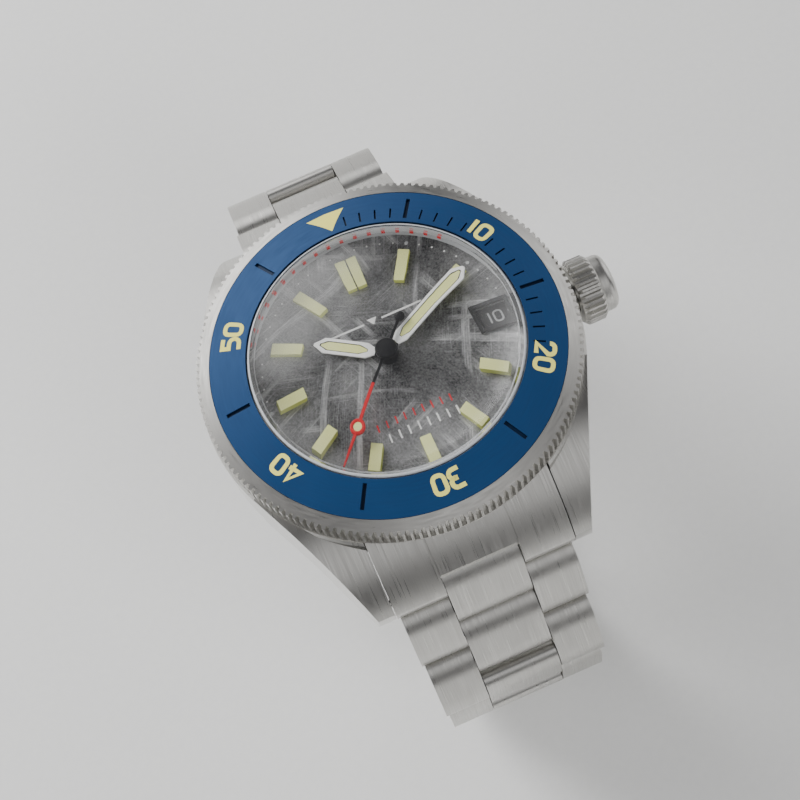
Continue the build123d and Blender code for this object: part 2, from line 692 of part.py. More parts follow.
def inner_blade(near, far, level):
    """Upper blade: from the fold pin back to the spring bar at the 6 o'clock side."""
    fold = fold_y(far)
    plate = block(-BLADE_HALF, BLADE_HALF, near + 3.2, fold - 1.0, level + 0.5, level + 0.5 + BLADE_THICK)
    plate += block(-4.5, 4.5, near, near + 3.3, level + 0.5, level + 0.5 + BLADE_THICK)
    body = plate + along_x(1.5, -4.5, 4.5, near, level)
    for x0, x1 in ((3.05, BLADE_HALF), (-BLADE_HALF, -3.05)):
        body += block(x0, x1, fold - 1.1, fold, level + 0.45, level + 0.5 + BLADE_THICK)
        body += along_x(KNUCKLE_R, x0, x1, fold, level - 0.1)
        body += block(x0, x1, fold - KNUCKLE_R, fold + KNUCKLE_R, level - 0.1, level + 0.9)
    body -= along_x(CLASP_BORE_R, -7, 7, fold, level - 0.1)
    body -= along_x(PIN_BORE_R, -5, 5, near, level)
    return body


def push_button(side, far, level):
    half = CLASP_WIDTH / 2
    y = button_y(far)
    body = block(half - CLASP_WALL - 1.1, half + 0.9, y - 2.0, y + 2.0, level - 1.2, level + 1.0)
    body += block(half - CLASP_WALL - 1.1, half - CLASP_WALL - 0.3, y - 2.5, y + 2.5, level - 1.2, level + 1.0)
    return body if side > 0 else mirror(body, Plane.YZ)


# ---- build everything --------------------------------------------------------------------
def build_head():
    save("mid_case", middle_case())
    save("case_back", case_back())
    save("case_back_gasket", ring(18.0, 17.4, 0.75, CASE_BOTTOM))
    save("bezel_ring", bezel_ring())
    save("bezel_insert", bezel_insert())
    save("bezel_click_spring", click_spring())
    save("bezel_gasket", ring(NECK_R + 0.05, NECK_R - 0.4, 9.25, 9.7))
    save("crystal", crystal())
    save("crystal_gasket", ring(CAVITY_R - 0.02, CRYSTAL_SEAT_R, CRYSTAL_BOTTOM, NECK_TOP))
    save("chapter_ring", chapter_ring())
    save("dial", dial())
    save("date_frame", date_frame())
    save("hour_markers", *hour_markers())
    save("hour_hand", hour_hand())
    save("minute_hand", minute_hand())
    save("second_hand", second_hand())


def build_movement():
    save("movement_plate", movement_plate())
    save("movement_holder", movement_holder())
    save("date_ring", date_ring())
    save("train_bridge", train_bridge())
    save("balance_cock", balance_cock())
    save("mainspring_barrel", mainspring_barrel())
    save("centre_wheel", centre_wheel())
    save("hour_wheel", hour_wheel())
    save("third_wheel", third_wheel())
    save("fourth_wheel", fourth_wheel())
    save("escape_wheel", escape_wheel())
    save("pallet_fork", pallet_fork())
    save("balance_wheel", balance_wheel())
    save("rotor", rotor())
    save("rotor_bearing", disc(0.95, 1.5, BRIDGE_LOW))


def build_crown():
    save("crown", crown())
    save("winding_stem", winding_stem())
    save("crown_gasket", crown_gasket())
    save("crown_tube", crown_tube())
    save("helium_valve", helium_valve())


def build_bracelet():
    chain_12 = hinge_points(ROWS_12)
    level = chain_12[-1][1]
    short = hinge_points(ROWS_6)
    closing = 180 - degrees(asin((short[-1][1] - level) / LINK_PITCH))
    rows_6 = (*ROWS_6, closing)
    chain_6 = hinge_points(rows_6)
    for side, name, slopes, chain in ((1, "12", ROWS_12, chain_12), (-1, "6", rows_6, chain_6)):
        save(f"end_link_{name}", end_link(side))
        for index, slope in enumerate(slopes):
            width = END_LINK_WIDTH - WIDTH_STEP * (index + 1)
            at_clasp = side < 0 and index == len(slopes) - 1
            pins = 1 if at_clasp else 2
            save(f"link_{name}_{index + 1}", *link_row(side, chain[index], slope, width, pins))
    save("spring_bars", *spring_bars())
    near = -chain_6[-1][0]
    far = chain_12[-1][0]
    save("clasp_cover", clasp_cover(near, far, level))
    save("clasp_pin", clasp_pin(near, level))
    save("clasp_outer_blade", *outer_blade(near, far, level))
    save("clasp_inner_blade", inner_blade(near, far, level))
    save("clasp_spring_bar", along_x(PIN_R, -4.4, 4.4, near, level))
    save("push_button_right", push_button(1, far, level))
    save("push_button_left", push_button(-1, far, level))


build_head()
build_movement()
build_crown()
build_bracelet()
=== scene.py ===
"""Looks of a steel dive watch with a blue turning bezel: materials, print, hands and light."""

import math

import bmesh
import bpy
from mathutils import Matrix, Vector


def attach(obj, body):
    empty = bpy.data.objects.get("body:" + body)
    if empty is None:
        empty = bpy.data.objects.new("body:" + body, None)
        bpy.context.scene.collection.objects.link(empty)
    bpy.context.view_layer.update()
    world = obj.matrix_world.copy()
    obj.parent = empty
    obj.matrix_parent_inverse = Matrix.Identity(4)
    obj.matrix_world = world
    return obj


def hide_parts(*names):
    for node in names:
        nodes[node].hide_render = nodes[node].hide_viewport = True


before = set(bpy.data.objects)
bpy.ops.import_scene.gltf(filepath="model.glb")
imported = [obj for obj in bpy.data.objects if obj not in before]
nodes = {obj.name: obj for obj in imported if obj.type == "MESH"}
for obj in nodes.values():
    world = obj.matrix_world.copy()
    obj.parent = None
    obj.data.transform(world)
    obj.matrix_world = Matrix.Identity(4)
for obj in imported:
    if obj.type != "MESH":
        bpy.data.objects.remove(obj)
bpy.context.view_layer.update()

MM = 0.001
ROW_12 = [f"link_12_{i}" for i in range(1, 7)]
ROW_6 = [f"link_6_{i}" for i in range(1, 6)]

# ---- driving dimensions, in millimetres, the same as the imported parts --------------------
CAMERA_PLACE = (-8.78, -80.93, 169.78)
CAMERA_TURN = (24.173, 7.643, -22.456)      # degrees about X, Y and Z
CAMERA_LENS = 71.47
FLOOR_Z = -39.85
INSERT_R = 20.3
INSERT_EDGE_Z = 11.4
INSERT_INNER_R = 15.95
INSERT_INNER_Z = 12.2
INSERT_SLOPE = (INSERT_INNER_Z - INSERT_EDGE_Z) / (INSERT_R - INSERT_INNER_R)
DIAL_TOP = 8.0
CHAPTER_R = 13.8
CHAPTER_Z = 8.2
CHAPTER_TOP_R = 15.3
CHAPTER_TOP = 10.4
WINDOW_R = 11.45
DATE_TOP = 7.66
HOUR_ANGLE = 303.5
MINUTE_ANGLE = 62.5
SECOND_ANGLE = 222.5
HOUR_TOP = 8.75
MINUTE_TOP = 9.25
SECOND_TOP = 9.75
HAND_THICK = 0.25
HOUR_LENGTH = 8.5
MINUTE_LENGTH = 12.3
SECOND_LENGTH = 13.3
SECOND_RING_Y = 8.9
COUNTERWEIGHT_Y = -4.3


# ---- nodes ------------------------------------------------------------------------------
class Finish:
    """One material, with short calls that add its nodes."""

    def __init__(self, name, colour, metallic=0.0, roughness=0.5):
        self.material = bpy.data.materials.new(name)
        self.material.use_nodes = True
        self.tree = self.material.node_tree
        self.shader = self.tree.nodes["Principled BSDF"]
        self.output = self.tree.nodes["Material Output"]
        self.set("Base Color", (*colour, 1.0))
        self.set("Metallic", metallic)
        self.set("Roughness", roughness)
        self.place = self.add("ShaderNodeTexCoord").outputs["Object"]

    def set(self, socket, value):
        self.shader.inputs[socket].default_value = value

    def add(self, kind, values=None, **settings):
        made = self.tree.nodes.new(kind)
        for key, value in settings.items():
            setattr(made, key, value)
        for key, value in (values or {}).items():
            self.join(value, made.inputs[key])
        return made

    def join(self, value, socket):
        if isinstance(value, bpy.types.NodeSocket):
            self.tree.links.new(value, socket)
        else:
            socket.default_value = value

    def to(self, socket, value):
        self.join(value, self.shader.inputs[socket])

    def math(self, operation, first, second=0.0, third=0.0):
        made = self.add("ShaderNodeMath", {0: first, 1: second, 2: third}, operation=operation)
        return made.outputs[0]

    def mapped(self, value, low, high, start=0.0, end=1.0):
        made = self.add("ShaderNodeMapRange", {
            "Value": value, "From Min": start, "From Max": end, "To Min": low, "To Max": high,
        })
        return made.outputs["Result"]

    def mixed(self, amount, first, second):
        made = self.add("ShaderNodeMix", data_type="RGBA")
        self.join(amount, made.inputs["Factor"])
        self.join(first, made.inputs[6])
        self.join(second, made.inputs[7])
        return made.outputs[2]

    def split(self, vector):
        return self.add("ShaderNodeSeparateXYZ", {"Vector": vector}).outputs

    def noise(self, scale, place=None, detail=3.0, roughness=0.5):
        made = self.add("ShaderNodeTexNoise", {
            "Vector": place or self.place, "Scale": scale, "Detail": detail, "Roughness": roughness,
        })
        return made.outputs[0]

    def stretched(self, per_metre, turn=0.0, shift=0.0, detail=3.0):
        """Noise drawn out into lines: per_metre is its scale along X, Y and Z after a turn about Z."""
        turned = self.add("ShaderNodeMapping", {
            "Vector": self.place, "Rotation": (0.0, 0.0, math.radians(turn)),
        }).outputs[0]
        drawn = self.add("ShaderNodeMapping", {
            "Vector": turned, "Scale": per_metre, "Location": (shift, shift, shift),
        }).outputs[0]
        return self.noise(1.0, drawn, detail)

    def circular(self, across, around, detail=3.0):
        """Noise in rings round the Z axis."""
        x, y, z = self.split(self.place)
        flat = self.add("ShaderNodeCombineXYZ", {"X": x, "Y": y}).outputs[0]
        way = self.add("ShaderNodeVectorMath", {0: flat}, operation="NORMALIZE").outputs[0]
        way_x, way_y, _ = self.split(way)
        radius = self.add("ShaderNodeVectorMath", {0: flat}, operation="LENGTH").outputs["Value"]
        rings = self.add("ShaderNodeCombineXYZ", {
            "X": self.math("MULTIPLY_ADD", z, across, self.math("MULTIPLY", radius, across)),
            "Y": self.math("MULTIPLY", way_x, around),
            "Z": self.math("MULTIPLY", way_y, around),
        }).outputs[0]
        return self.noise(1.0, rings, detail)

    def bump(self, height, strength, distance):
        made = self.add("ShaderNodeBump", {
            "Height": height, "Strength": strength, "Distance": distance,
        })
        self.to("Normal", made.outputs[0])

    def tangent(self, axis):
        made = self.add("ShaderNodeTangent", direction_type="RADIAL", axis=axis)
        self.to("Tangent", made.outputs[0])


# ---- metals -----------------------------------------------------------------------------
STEEL_LIGHT = (0.70, 0.69, 0.66)
STEEL_DARK = (0.50, 0.49, 0.465)


def wear(finish):
    """Slow cloudy change over the metal, from handling."""
    return finish.noise(90.0, detail=4.0, roughness=0.6)


def steel_colour(finish, lines):
    """Steel that is lighter and darker line by line, with a little slow change."""
    tone = finish.math("MULTIPLY_ADD", wear(finish), 0.35, finish.math("MULTIPLY", lines, 0.8))
    finish.to("Base Color", finish.mixed(tone, (*STEEL_DARK, 1.0), (*STEEL_LIGHT, 1.0)))


def brushed_steel():
    """Satin steel brushed along the bracelet, so its lines run square to the X axis."""
    finish = Finish("brushed_steel_looks", STEEL_LIGHT, metallic=1.0)
    lines = finish.stretched((11000.0, 130.0, 130.0), detail=2.0)
    steel_colour(finish, lines)
    finish.to("Roughness", finish.mapped(lines, 0.42, 0.26, 0.3, 0.7))
    finish.set("Anisotropic", 0.45)
    finish.tangent("X")
    finish.bump(lines, 0.12, 0.00004)
    return finish.material


def case_steel():
    """Case metal: brushed on top and below, polished on the flanks, where the normal lies along X."""
    finish = Finish("case_steel_looks", STEEL_LIGHT, metallic=1.0)
    lines = finish.stretched((11000.0, 130.0, 130.0), detail=2.0)
    steel_colour(finish, lines)
    normal = finish.add("ShaderNodeTexCoord").outputs["Normal"]
    side = finish.math("ABSOLUTE", finish.split(normal)[2])
    flank = finish.mapped(side, 1.0, 0.0, 0.30, 0.36)
    satin = finish.mapped(lines, 0.42, 0.26, 0.3, 0.7)
    smear = finish.mapped(wear(finish), 0.05, 0.13)
    rough = finish.add("ShaderNodeMix", {"Factor": flank, "A": satin, "B": smear})
    finish.to("Roughness", rough.outputs[0])
    finish.bump(finish.math("MULTIPLY", lines, finish.math("SUBTRACT", 1.0, flank)), 0.12, 0.00004)
    return finish.material


def ring_steel():
    """Bezel metal, brushed in circles."""
    finish = Finish("ring_steel_looks", STEEL_LIGHT, metallic=1.0)
    lines = finish.circular(6500.0, 9.0, detail=4.0)
    steel_colour(finish, lines)
    finish.to("Roughness", finish.mapped(lines, 0.44, 0.27, 0.3, 0.7))
    finish.set("Anisotropic", 0.35)
    finish.tangent("Z")
    finish.bump(lines, 0.12, 0.00004)
    return finish.material


def polished_steel():
    """Mirror steel with faint hairlines and smears."""
    finish = Finish("polished_steel_looks", STEEL_LIGHT, metallic=1.0)
    hairs = finish.stretched((2600.0, 300.0, 900.0), turn=31.0, detail=5.0)
    steel_colour(finish, hairs)
    finish.to("Roughness", finish.mapped(wear(finish), 0.06, 0.16))
    finish.bump(hairs, 0.04, 0.00002)
    return finish.material


def striped_steel(name, colour, pitch):
    """Plated bridge metal with broad parallel stripes."""
    finish = Finish(name, colour, metallic=1.0)
    wave = finish.add("ShaderNodeTexWave", {
        "Vector": finish.place, "Scale": 1.0 / (pitch * MM) / 20.0, "Distortion": 0.0,
    }, wave_type="BANDS", bands_direction="X", wave_profile="SAW").outputs["Fac"]
    grain = finish.stretched((900.0, 9000.0, 900.0), detail=3.0)
    both = finish.math("MULTIPLY_ADD", grain, 0.4, finish.math("MULTIPLY", wave, 0.6))
    dark = tuple(0.62 * value for value in colour)
    finish.to("Base Color", finish.mixed(both, (*dark, 1.0), (*colour, 1.0)))
    finish.to("Roughness", finish.mapped(both, 0.22, 0.42))
    finish.bump(both, 0.2, 0.00003)
    return finish.material


def brass():
    """Gilt wheel metal with circular graining."""
    finish = Finish("movement_brass_looks", (0.74, 0.56, 0.28), metallic=1.0)
    lines = finish.circular(5200.0, 14.0)
    finish.to("Base Color", finish.mixed(lines, (0.55, 0.39, 0.17, 1.0), (0.86, 0.70, 0.40, 1.0)))
    finish.to("Roughness", finish.mapped(lines, 0.38, 0.2))
    finish.bump(lines, 0.15, 0.00003)
    return finish.material


# ---- bezel insert, dial and print ---------------------------------------------------------
def blue_insert():
    """Anodised insert: satin blue with fine turning lines, and painted shade darkening the recesses of its
    engraved marks.
    """
    finish = Finish("blue_insert_looks", (0.02, 0.10, 0.26), metallic=0.35)
    lines = finish.circular(5200.0, 7.0, detail=4.0)
    cloud = finish.noise(160.0, detail=4.0)
    tone = finish.math("MULTIPLY_ADD", cloud, 0.45, finish.math("MULTIPLY", lines, 0.55))
    blue = finish.mixed(tone, (0.006, 0.038, 0.118, 1.0), (0.012, 0.066, 0.19, 1.0))
    x, y, z = finish.split(finish.place)
    flat = finish.add("ShaderNodeCombineXYZ", {"X": x, "Y": y}).outputs[0]
    radius = finish.add("ShaderNodeVectorMath", {0: flat}, operation="LENGTH").outputs["Value"]
    apex = (INSERT_EDGE_Z + INSERT_SLOPE * INSERT_R) * MM
    surface = finish.math("MULTIPLY_ADD", radius, -INSERT_SLOPE, apex)
    # painted shade: the colour turns near black-blue below the cone's surface, inside the engraved grooves,
    # where shade falls
    painted_groove_shade = finish.mapped(finish.math("SUBTRACT", surface, z), 0.0, 1.0, 0.00003, 0.00012)
    finish.to("Base Color", finish.mixed(painted_groove_shade, blue, (0.004, 0.018, 0.052, 1.0)))
    finish.to("Roughness", finish.mapped(lines, 0.46, 0.32, 0.3, 0.7))
    finish.bump(lines, 0.08, 0.00003)
    return finish.material


def etched_dial():
    """Etched iron dial: short straight bands crossing in four directions, over a fine hatched grain."""
    finish = Finish("dial_looks", (0.1, 0.1, 0.1), metallic=0.7)
    bands = None
    hatch = None
    for count, turn in enumerate((22.0, 68.0, 112.0, 158.0)):
        fine = finish.stretched((9000.0, 260.0, 1.0), turn=turn, shift=3.0 * count, detail=2.0)
        broad = finish.stretched((800.0, 12.0, 1.0), turn=turn, shift=11.0 + 7.0 * count, detail=0.0)
        patch = finish.stretched((150.0, 110.0, 1.0), turn=turn, shift=41.0 + 5.0 * count, detail=1.0)
        here = finish.mapped(patch, 0.0, 1.0, 0.50, 0.56)
        lines = finish.mapped(fine, 0.25, 0.85, 0.3, 0.7)
        band = finish.math("MULTIPLY", finish.mapped(broad, 0.0, 1.0, 0.60, 0.66), here)
        band = finish.math("MULTIPLY", band, lines)
        bands = band if bands is None else finish.math("MAXIMUM", bands, band)
        scratch = finish.math("MULTIPLY", finish.mapped(fine, 0.0, 0.5, 0.55, 0.75), here)
        hatch = scratch if hatch is None else finish.math("MAXIMUM", hatch, scratch)
    cloud = finish.noise(170.0, detail=6.0, roughness=0.65)
    grain = finish.noise(5200.0, detail=3.0, roughness=0.6)
    tone = finish.math("MULTIPLY_ADD", hatch, 0.6, finish.math("MULTIPLY", bands, 0.55))
    tone = finish.math("MULTIPLY_ADD", cloud, 0.85, tone)
    tone = finish.math("MULTIPLY_ADD", grain, 0.6, tone)
    tone = finish.mapped(tone, 0.0, 1.0, 0.48, 1.45)
    finish.to("Base Color", finish.mixed(tone, (0.030, 0.030, 0.031, 1.0), (0.78, 0.78, 0.78, 1.0)))
    finish.to("Roughness", finish.mapped(tone, 0.34, 0.48))
    finish.bump(tone, 0.35, 0.00004)
    return finish.material


def chapter_silver():
    """Satin silver rehaut, turned in fine circles."""
    finish = Finish("chapter_looks", (0.42, 0.43, 0.44), metallic=0.25)
    lines = finish.circular(6000.0, 10.0)
    finish.to("Base Color", finish.mixed(lines, (0.33, 0.34, 0.35, 1.0), (0.50, 0.51, 0.52, 1.0)))
    finish.to("Roughness", finish.mapped(lines, 0.46, 0.30))
    finish.bump(lines, 0.06, 0.00003)
    return finish.material


def lume(name, pale, deep):
    """Luminous fill with painted light and shade: paler on top and darker on its sides by the way each face
    points, with a fine chalky grain.
    """
    finish = Finish(name, pale, roughness=0.6)
    grain = finish.noise(6500.0, detail=3.0, roughness=0.7)
    cloud = finish.noise(420.0, detail=2.0)
    normal = finish.add("ShaderNodeTexCoord").outputs["Normal"]
    # painted light and shade: faces that point up get the pale colour, the sides the deep one
    up = finish.mapped(finish.split(normal)[2], 0.0, 1.0, 0.3, 0.9)
    tone = finish.math("MULTIPLY", up, finish.math("MULTIPLY_ADD", grain, 0.5, 0.6))
    tone = finish.math("MULTIPLY_ADD", cloud, 0.15, tone)
    finish.to("Base Color", finish.mixed(tone, (*deep, 1.0), (*pale, 1.0)))
    finish.to("Roughness", finish.mapped(grain, 0.5, 0.75))
    finish.set("Subsurface Weight", 0.15)
    finish.set("Subsurface Radius", (0.0006, 0.0006, 0.0003))
    finish.bump(grain, 0.15, 0.00003)
    return finish.material


def lacquer(name, colour, roughness):
    """Painted trim with a slightly uneven surface."""
    finish = Finish(name, colour)
    cloud = finish.noise(2400.0, detail=4.0)
    dark = tuple(0.85 * value for value in colour)
    finish.to("Base Color", finish.mixed(cloud, (*dark, 1.0), (*colour, 1.0)))
    finish.to("Roughness", finish.mapped(cloud, roughness - 0.06, roughness + 0.08))
    finish.bump(cloud, 0.08, 0.00002)
    return finish.material


def hand_metal():
    """Rhodium-plated hand frames, finely brushed."""
    finish = Finish("hand_metal_looks", (0.88, 0.88, 0.86), metallic=0.15)
    lines = finish.noise(1500.0, detail=2.0)
    finish.to("Base Color", finish.mixed(lines, (0.88, 0.88, 0.86, 1.0), (0.96, 0.96, 0.94, 1.0)))
    finish.to("Roughness", finish.mapped(lines, 0.30, 0.38))
    return finish.material


def sapphire(name, index):
    """Solid crystal that bends what is seen through it, while light goes straight on to the dial."""
    finish = Finish(name, (1.0, 1.0, 1.0))
    finish.set("Transmission Weight", 1.0)
    finish.set("IOR", index)
    finish.to("Roughness", finish.mapped(finish.noise(240.0, detail=4.0), 0.0, 0.012, 0.45, 0.8))
    path = finish.add("ShaderNodeLightPath")
    clear = finish.add("ShaderNodeBsdfTransparent")
    through = finish.math("MAXIMUM", path.outputs["Is Shadow Ray"], path.outputs["Is Diffuse Ray"])
    mix = finish.add("ShaderNodeMixShader", {0: through, 1: finish.shader.outputs[0], 2: clear.outputs[0]})
    finish.tree.links.new(mix.outputs[0], finish.output.inputs["Surface"])
    return finish.material


def ground_edge():
    """Finely ground edge of the crystal, whitish where it catches the light."""
    finish = Finish("crystal_edge_looks", (0.80, 0.82, 0.84), roughness=0.3)
    grain = finish.noise(3000.0, detail=3.0)
    finish.to("Base Color", finish.mixed(grain, (0.62, 0.65, 0.68, 1.0), (0.90, 0.92, 0.94, 1.0)))
    finish.to("Roughness", finish.mapped(grain, 0.22, 0.40))
    finish.set("Transmission Weight", 0.35)
    return finish.material


def floor_paper():
    """Pale studio paper."""
    finish = Finish("floor_looks", (0.72, 0.72, 0.71), roughness=0.8)
    grain = finish.noise(900.0, detail=5.0)
    finish.to("Base Color", finish.mixed(grain, (0.70, 0.70, 0.69, 1.0), (0.75, 0.75, 0.74, 1.0)))
    finish.bump(grain, 0.05, 0.0001)
    return finish.material


# lit top and shaded side copies of the lume colour; the darker one is also reached where the grain is dark
LUME_LIT_TOP = (0.74, 0.76, 0.33)
LUME_SIDE_SHADE_AND_GRAIN = (0.50, 0.54, 0.12)
looks = {
    "brushed_steel": brushed_steel(),
    "case_steel": case_steel(),
    "ring_steel": ring_steel(),
    "polished_steel": polished_steel(),
    "plated_bridge": striped_steel("plated_bridge_looks", (0.66, 0.65, 0.62), 1.3),
    "rotor_metal": striped_steel("rotor_looks", (0.60, 0.59, 0.57), 2.0),
    "brass": brass(),
    "blue_insert": blue_insert(),
    "dial": etched_dial(),
    "chapter": chapter_silver(),
    "lume": lume("lume_looks", LUME_LIT_TOP, LUME_SIDE_SHADE_AND_GRAIN),
    # the bezel lume has the same painted light on its tops and painted shade on its sides
    "bezel_lume": lume("bezel_lume_looks", (0.84, 0.78, 0.19), (0.68, 0.61, 0.12)),
    "black": lacquer("black_lacquer_looks", (0.012, 0.012, 0.013), 0.30),
    "red": lacquer("red_lacquer_looks", (0.58, 0.018, 0.022), 0.32),
    "white": lacquer("white_print_looks", (0.78, 0.78, 0.76), 0.50),
    "grey_print": lacquer("grey_print_looks", (0.45, 0.46, 0.46), 0.50),
    "hand_metal": hand_metal(),
    "rubber": lacquer("black_rubber_looks", (0.02, 0.02, 0.02), 0.70),
    "plastic": lacquer("holder_plastic_looks", (0.11, 0.11, 0.115), 0.55),
    "crystal": sapphire("crystal_looks", 1.77),
    "crystal_edge": ground_edge(),
}

# ---- CAD nodes keep their shape: better materials, welded corners and lit edges ------------
NODE_LOOKS = {
    "case_steel": ["mid_case"],
    "ring_steel": ["bezel_ring", "helium_valve"],
    "brushed_steel": ["end_link_12", "end_link_6", "clasp_cover", "clasp_outer_blade",
                      "clasp_inner_blade", "push_button_right", "push_button_left",
                      "crown", *ROW_12, *ROW_6],
    "polished_steel": ["case_back", "crown_tube", "winding_stem", "spring_bars", "clasp_pin",
                       "clasp_spring_bar", "bezel_click_spring", "rotor_bearing", "balance_cock"],
    "plated_bridge": ["movement_plate", "train_bridge", "pallet_fork"],
    "rotor_metal": ["rotor"],
    "brass": ["mainspring_barrel", "centre_wheel", "hour_wheel", "third_wheel", "fourth_wheel",
              "escape_wheel", "balance_wheel"],
    "blue_insert": ["bezel_insert"],
    "dial": ["dial"],
    "chapter": ["chapter_ring"],
    "lume": ["hour_markers"],
    "black": ["date_frame", "date_ring"],
    "rubber": ["case_back_gasket", "bezel_gasket", "crystal_gasket", "crown_gasket"],
    "plastic": ["movement_holder"],
    "crystal": ["crystal"],
}
EDGE_WIDTH = {"mid_case": 0.22, "end_link_12": 0.12, "end_link_6": 0.12, "clasp_cover": 0.25,
              "crown": 0.10, "bezel_ring": 0.04, "bezel_insert": 0.03, "hour_markers": 0.05,
              "date_frame": 0.06, "case_back": 0.08, "helium_valve": 0.1,
              **{link: 0.12 for link in ROW_12 + ROW_6}}


def clean_normals():
    """Geometry nodes that weld a mesh and shade it smooth except over sharp corners."""
    group = bpy.data.node_groups.new("clean_normals", "GeometryNodeTree")
    group.interface.new_socket("Geometry", in_out="INPUT", socket_type="NodeSocketGeometry")
    group.interface.new_socket("Geometry", in_out="OUTPUT", socket_type="NodeSocketGeometry")
    start = group.nodes.new("NodeGroupInput")
    weld = group.nodes.new("GeometryNodeMergeByDistance")
    weld.inputs["Distance"].default_value = 1e-7
    angle = group.nodes.new("GeometryNodeInputMeshEdgeAngle")
    corner = group.nodes.new("FunctionNodeCompare")
    corner.data_type = "FLOAT"
    corner.operation = "GREATER_THAN"
    corner.inputs["B"].default_value = math.radians(24)
    shade = group.nodes.new("GeometryNodeSetMeshNormal")
    shade.mode = "SHARPNESS"
    shade.inputs["Remove Custom"].default_value = True
    end = group.nodes.new("NodeGroupOutput")
    link = group.links.new
    link(start.outputs[0], weld.inputs["Geometry"])
    link(weld.outputs["Geometry"], shade.inputs["Mesh"])
    link(angle.outputs["Unsigned Angle"], corner.inputs["A"])
    link(corner.outputs["Result"], shade.inputs["Edge Sharpness"])
    link(shade.outputs["Mesh"], end.inputs[0])
    return group


NORMALS = clean_normals()


def soften(node, width):
    """Welds a CAD node's corners and rounds its edges by a width in millimetres."""
    clean = node.modifiers.new("clean_normals", "NODES")
    clean.node_group = NORMALS
    if width:
        round_edges(node, width)


def round_edges(piece, width):
    """Rounds a piece's sharp edges by a width in millimetres."""
    bevel = piece.modifiers.new("edges", "BEVEL")
    bevel.limit_method = "ANGLE"
    bevel.angle_limit = math.radians(32)
    bevel.width = width * MM
    bevel.segments = 2
    bevel.harden_normals = True
    bevel.use_clamp_overlap = True


for look, names in NODE_LOOKS.items():
    for name in names:
        node = nodes[name]
        node.data.materials.clear()
        node.data.materials.append(looks[look])
        soften(node, EDGE_WIDTH.get(name, 0))


# ---- building pieces ----------------------------------------------------------------------
def add_piece(name, points, faces, body, look, smooth=False):
    """A mesh piece from points in millimetres, riding on a body."""
    mesh = bpy.data.meshes.new(name)
    mesh.from_pydata([Vector(point) * MM for point in points], [], faces)
    build = bmesh.new()
    build.from_mesh(mesh)
    bmesh.ops.recalc_face_normals(build, faces=build.faces)
    build.to_mesh(mesh)
    build.free()
    for polygon in mesh.polygons:
        polygon.use_smooth = smooth
    piece = bpy.data.objects.new(name, mesh)
    bpy.context.scene.collection.objects.link(piece)
    mesh.materials.append(looks[look])
    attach(piece, body)
    return piece


def clock(point, angle):
    """A point turned clockwise about the Z axis, by an angle in degrees from 12 o'clock."""
    turn = math.radians(-angle)
    x, y, z = point
    return (x * math.cos(turn) - y * math.sin(turn), x * math.sin(turn) + y * math.cos(turn), z)


class Shape:
    """Points and faces gathered up for one piece."""

    def __init__(self):
        self.points = []
        self.faces = []

    def take(self, points, faces):
        start = len(self.points)
        self.points += points
        self.faces += [tuple(start + i for i in face) for face in faces]

    def prism(self, outline, low, high):
        """A closed plate with a convex outline in plan."""
        count = len(outline)
        points = [(x, y, low) for x, y in outline] + [(x, y, high) for x, y in outline]
        walls = [(i, (i + 1) % count, count + (i + 1) % count, count + i) for i in range(count)]
        self.take(points, [tuple(range(count)), tuple(range(count, 2 * count)), *walls])

    def frame(self, outer, inner, low, high):
        """A closed plate with a hole; both outlines have as many points."""
        count = len(outer)
        points = []
        for outline, z in ((outer, low), (inner, low), (outer, high), (inner, high)):
            points += [(x, y, z) for x, y in outline]
        faces = []
        for i in range(count):
            j = (i + 1) % count
            faces += [
                (i, j, count + j, count + i), (2 * count + i, 2 * count + j, 3 * count + j, 3 * count + i),
                (i, j, 2 * count + j, 2 * count + i),
                (count + i, count + j, 3 * count + j, 3 * count + i),
            ]
        self.take(points, faces)

    def lathe(self, profile, centre=(0.0, 0.0), sides=64):
        """Turns a closed profile of (radius, z) about a vertical axis; radius 0 ends meet at a point."""
        count = len(profile)
        points = []
        for side in range(sides):
            angle = 2 * math.pi * side / sides
            points += [(centre[0] + r * math.cos(angle), centre[1] + r * math.sin(angle), z)
                       for r, z in profile]
        faces = []
        for side in range(sides):
            after = (side + 1) % sides
            for i in range(count):
                j = (i + 1) % count
                if profile[i][0] == 0 and profile[j][0] == 0:
                    continue
                faces.append((side * count + i, side * count + j, after * count + j, after * count + i))
        self.take(points, faces)

    def piece(self, name, body, slot, look, angle=0.0, lay=None, smooth=False):
        points = [lay(point) if lay else clock(point, angle) for point in self.points]
        made = add_piece(name, points, self.faces, body, look, smooth)
        build = bmesh.new()
        build.from_mesh(made.data)
        bmesh.ops.remove_doubles(build, verts=build.verts, dist=1e-8)
        bmesh.ops.recalc_face_normals(build, faces=build.faces)
        build.to_mesh(made.data)
        build.free()
        return made


# ---- numerals -----------------------------------------------------------------------------
CORNER = ((1.0, 0.0), (0.92, 0.38), (0.71, 0.71), (0.38, 0.92), (0.0, 1.0))


def bend(centre, radius, start):
    """A quarter turn about a centre, anticlockwise from a start given in quarter turns."""
    points = []
    for x, y in CORNER:
        for _ in range(start % 4):
            x, y = -y, x
        points.append((centre[0] + radius * x, centre[1] + radius * y))
    return points


